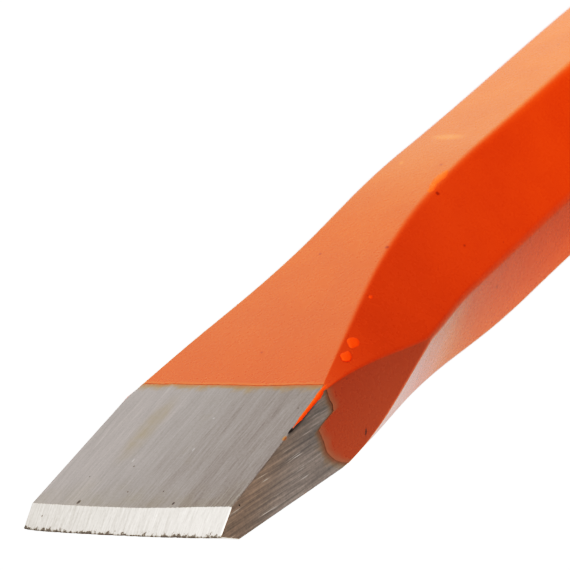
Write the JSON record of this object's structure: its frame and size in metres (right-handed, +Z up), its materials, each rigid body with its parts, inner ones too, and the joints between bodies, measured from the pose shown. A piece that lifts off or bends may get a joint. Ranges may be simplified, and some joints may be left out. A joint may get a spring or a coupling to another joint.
{
  "type": "flat cold chisel",
  "caption": "Flat cold chisel: hexagonal steel bar forged to a flared wedge blade with a ground bevelled edge, lacquered shank and a bare tapered striking head.",
  "frame": {"origin": "on the lower flat of the lacquered shank, where the chisel lies, midway between the cutting edge and the striking face", "axes": "+X from the cutting edge to the striking face, +Y across the blade, +Z up, square to the blade's broad faces"},
  "size_m": [0.2, 0.0204, 0.0173],
  "materials": {
    "steel": "ground bare tool steel with fine streaks along the blade and across the bevel",
    "lacquer": "glossy orange lacquer with small specks, drops and scratches"
  },
  "bodies": {
    "root": {"steel_forging": "steel", "lacquer_coat": "lacquer"}
  },
  "joints": []
}
